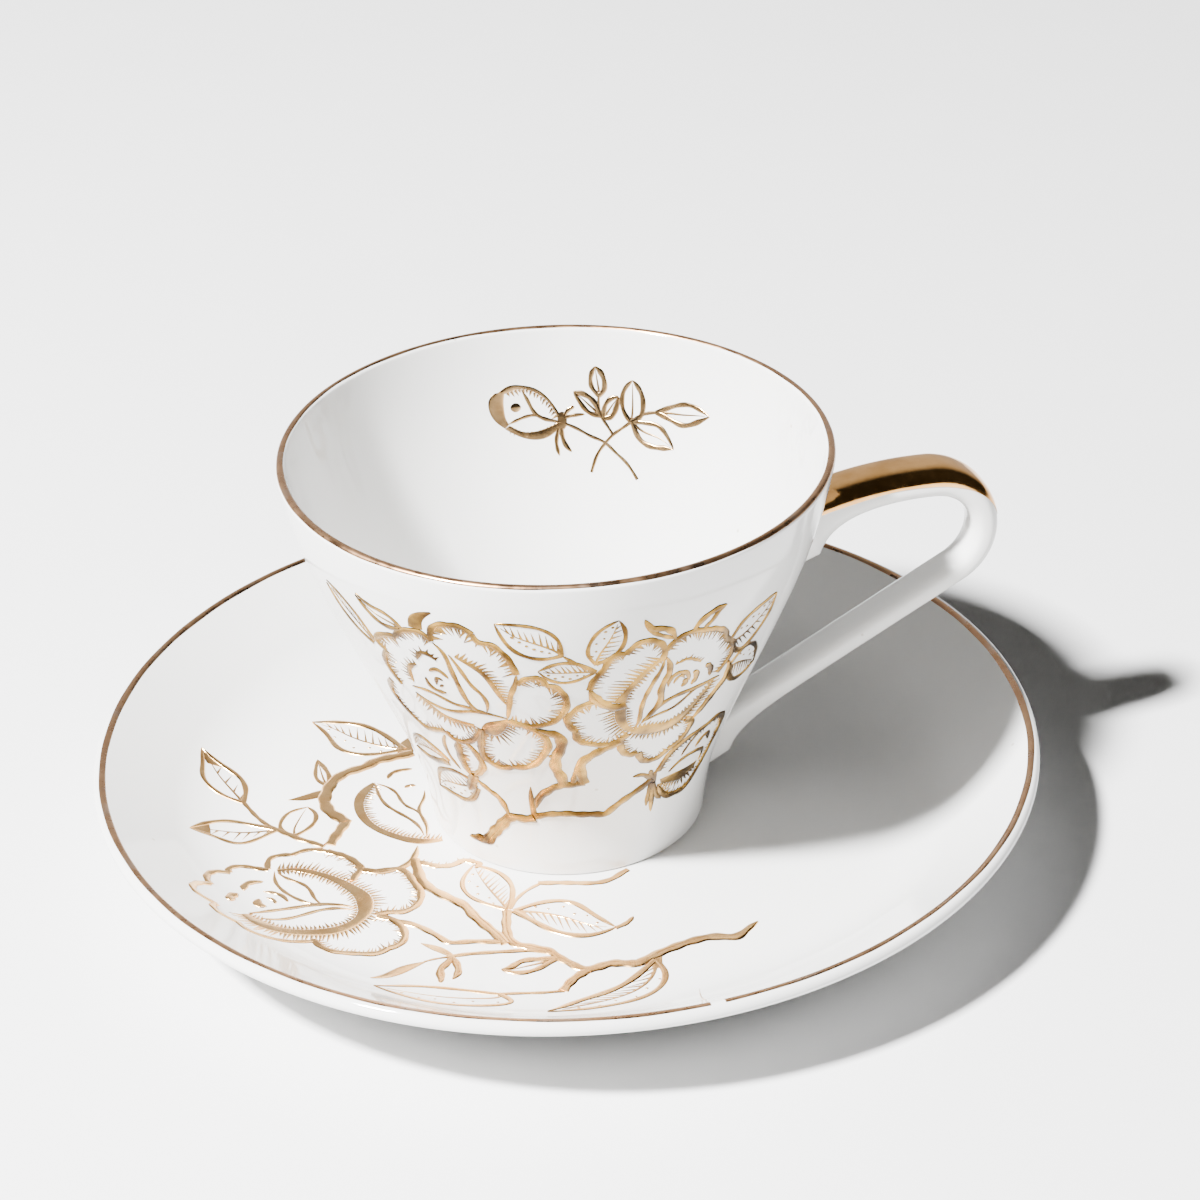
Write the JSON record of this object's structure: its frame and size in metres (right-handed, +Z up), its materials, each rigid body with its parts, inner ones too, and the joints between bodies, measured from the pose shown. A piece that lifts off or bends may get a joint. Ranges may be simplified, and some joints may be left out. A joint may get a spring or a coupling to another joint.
{
  "type": "teacup",
  "caption": "Conical porcelain teacup with a strap handle standing on its saucer, both lined with bright gold; the cup lifts off.",
  "frame": {"origin": "centre of the saucer's foot ring, in the plane it stands on", "axes": "+Z up along the common axis of cup and saucer, +X towards the cup's handle, +Y completes a right-handed frame"},
  "size_m": [0.152, 0.152, 0.07],
  "materials": {
    "porcelain": "white, transparent gloss glaze",
    "gilding": "bright fired gold, slightly worn at edges"
  },
  "bodies": {
    "saucer": {"saucer_dish": "porcelain", "saucer_rim_gilding": "gilding"},
    "cup": {"cup_bowl": "porcelain", "cup_handle": "porcelain", "cup_lip_gilding": "gilding", "handle_gilding": "gilding"}
  },
  "joints": [
    {"name": "cup_lift", "type": "slide", "parent": "saucer", "child": "cup", "axis": [0, 0, 1], "range_m": [0, 0.12]}
  ]
}
